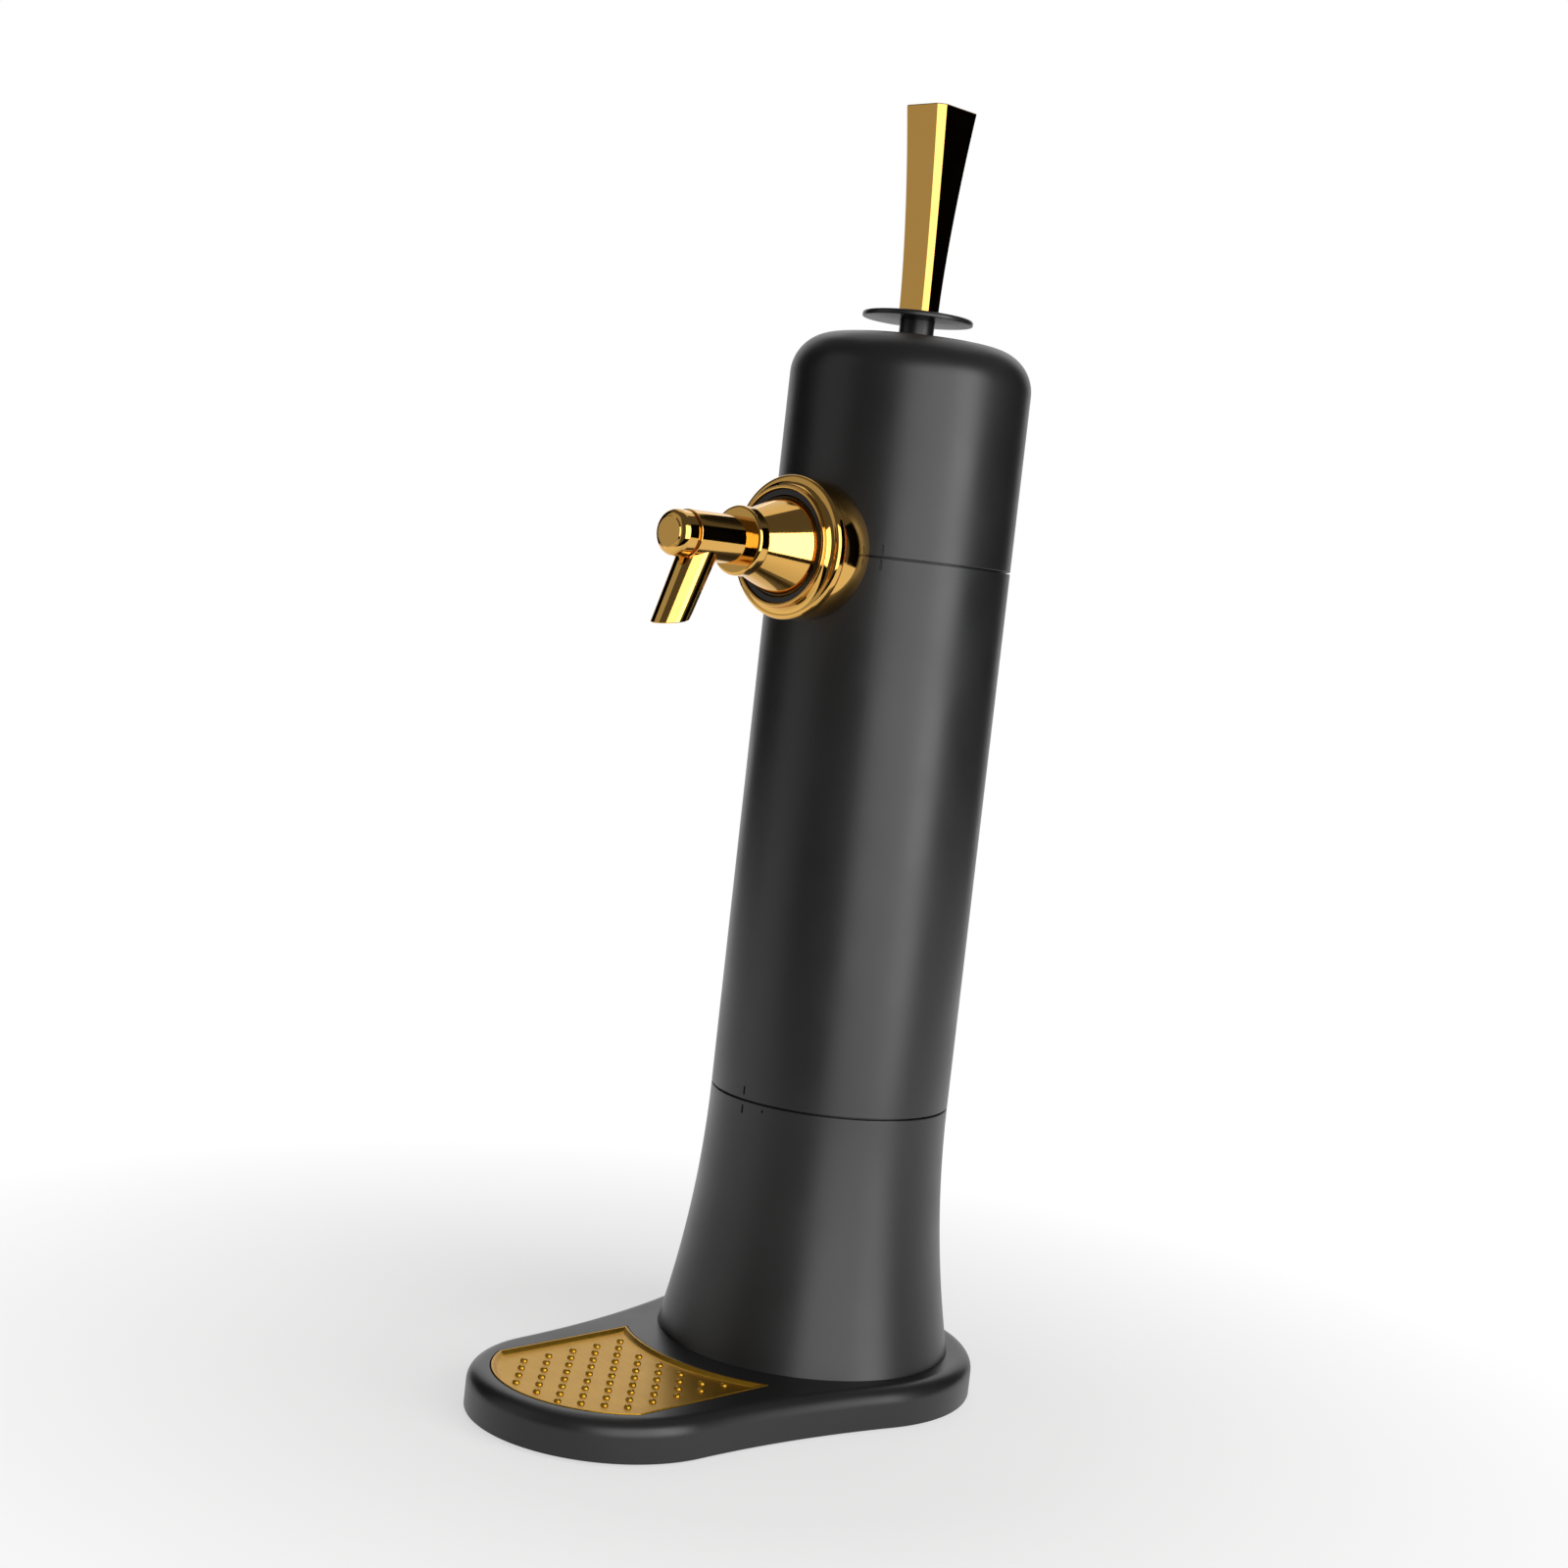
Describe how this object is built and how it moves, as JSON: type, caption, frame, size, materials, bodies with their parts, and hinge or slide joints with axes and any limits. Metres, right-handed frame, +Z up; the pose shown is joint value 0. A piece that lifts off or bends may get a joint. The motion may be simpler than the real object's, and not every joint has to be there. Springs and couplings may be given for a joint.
{
  "type": "draft beer dispenser",
  "caption": "Counter-top draft beer dispenser: a bottle tower on a two-lobed base with a gold tap, tilting lever and lift-out drip tray.",
  "frame": {"origin": "centre of the base's footprint, on the surface that it stands on", "axes": "+Z up along the tower, -Y towards the tap and the glass, +X to the right seen from behind the tap"},
  "size_m": [0.1254, 0.2064, 0.4577],
  "materials": {
    "black_abs": "satin moulded, fine spark texture",
    "gold_plate": "polished gold plating",
    "gold_satin": "satin gold",
    "steel": "zinc plated",
    "rubber": "matt",
    "grey_plastic": "moulded, unpainted",
    "clear_silicone": "translucent silicone",
    "cell_wrap": "printed shrink wrap, plain",
    "board": "solder mask",
    "contact": "plated strip",
    "wire": "vinyl sleeve"
  },
  "bodies": {
    "base": {"weight_plate": "steel", "base_shell": "black_abs", "rubber_pads": "rubber", "base_screws": "steel", "foot_screws": "steel", "bottle_mat": "rubber", "tower_foot": "black_abs", "lower_seal": "rubber"},
    "tray": {"drip_tray": "gold_satin"},
    "barrel": {"barrel": "black_abs"},
    "head": {"head_shell": "black_abs", "chassis": "grey_plastic", "upper_seal": "rubber", "chassis_screws": "steel", "battery_box": "grey_plastic", "battery_cells": "cell_wrap", "battery_contacts": "contact", "pump_housing": "grey_plastic", "pump_motor": "steel", "air_tube": "clear_silicone", "circuit_board": "board", "switch_body": "grey_plastic", "pivot_bracket": "steel", "pivot_pin": "steel", "centring_spring": "steel", "stopper": "clear_silicone", "dip_tube": "clear_silicone", "beer_tube": "clear_silicone", "tap_shank": "gold_plate", "shank_nut": "steel", "shank_washer": "rubber", "tap_dome": "gold_plate", "tap_flange": "gold_plate", "tap_cone": "gold_plate", "tap_collar": "gold_plate", "spout_body": "gold_plate", "nose_cap": "gold_plate", "wiring": "wire"},
    "cover": {"battery_cover": "black_abs"},
    "rotor": {"pump_rotor": "steel"},
    "toggle": {"switch_toggle": "steel"},
    "lever": {"lever_hub": "steel", "lever_neck": "grey_plastic", "guard_plate": "black_abs", "handle": "gold_plate"}
  },
  "joints": [
    {"name": "tray_lift", "type": "slide", "parent": "base", "child": "tray", "axis": [0, 0, 1], "range_m": [0, 0.03]},
    {"name": "barrel_twist", "type": "hinge", "parent": "base", "child": "barrel", "pos_m": [0, 0.04055, 0.2], "axis": [0, 0, 1], "range_deg": [0, 12]},
    {"name": "head_twist", "type": "hinge", "parent": "barrel", "child": "head", "pos_m": [0, 0.04055, 0.29855], "axis": [0, 0, 1], "range_deg": [0, 12]},
    {"name": "lever_tilt", "type": "hinge", "parent": "head", "child": "lever", "pos_m": [0, 0.04055, 0.35815], "axis": [1, 0, 0], "range_deg": [-14, 14], "stiffness_Nm_per_rad": 0.6},
    {"name": "toggle_tilt", "type": "hinge", "parent": "head", "child": "toggle", "pos_m": [0, 0.04055, 0.34115], "axis": [1, 0, 0], "range_deg": [-14, 14]},
    {"name": "cover_pull", "type": "slide", "parent": "head", "child": "cover", "axis": [0, 1, 0], "range_m": [0, 0.02]},
    {"name": "rotor_spin", "type": "hinge", "parent": "head", "child": "rotor", "pos_m": [0.024, 0.02655, 0.313], "axis": [0, 0, 1], "continuous": true}
  ],
  "couplings": [
    {"joint": "toggle_tilt", "follows": "lever_tilt", "ratio": -1}
  ]
}
